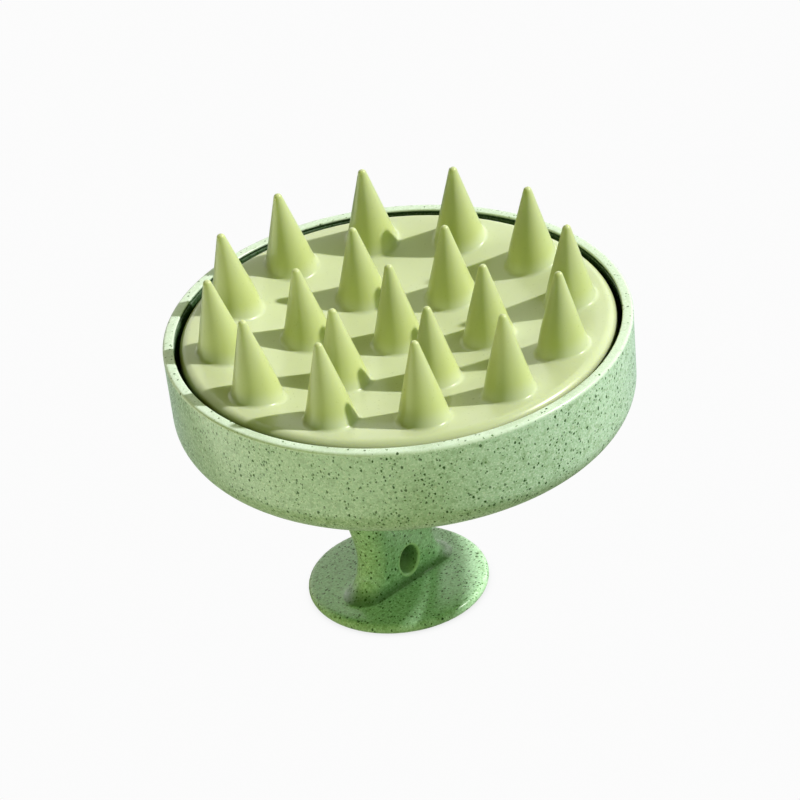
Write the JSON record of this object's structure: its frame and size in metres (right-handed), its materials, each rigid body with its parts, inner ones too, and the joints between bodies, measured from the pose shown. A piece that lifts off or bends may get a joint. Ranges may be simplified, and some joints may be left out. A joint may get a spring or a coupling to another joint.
{
  "type": "scalp massager brush",
  "caption": "Round hand-held scalp massager: a soft pad of conical pins in a shallow cup, on a waisted neck with a hanging hole and a flat finger disc.",
  "frame": {"origin": "on the cup's axis, in the plane of the finger disc's outer face that the brush stands on", "axes": "+Z along the cup's axis towards the pins; +X along the width of the neck's blade"},
  "size_m": [0.085, 0.085, 0.0713],
  "materials": {
    "shell_plastic": "sage-green moulded plastic with dark plant-fibre flecks, low sheen",
    "pad_silicone": "pale yellow-green silicone, satin, slightly translucent",
    "carrier_plastic": "plain off-white moulded plastic",
    "screw_steel": "plain zinc-coloured steel"
  },
  "bodies": {
    "shell": {"cup_shell": "shell_plastic", "handle": "shell_plastic", "handle_screw_1": "screw_steel", "handle_screw_2": "screw_steel"},
    "massage_head": {"pad_carrier": "carrier_plastic", "silicone_pad": "pad_silicone"}
  },
  "joints": [
    {"name": "head_lift", "type": "slide", "parent": "shell", "child": "massage_head", "axis": [0, 0, 1], "range_m": [0, 0.03]}
  ]
}
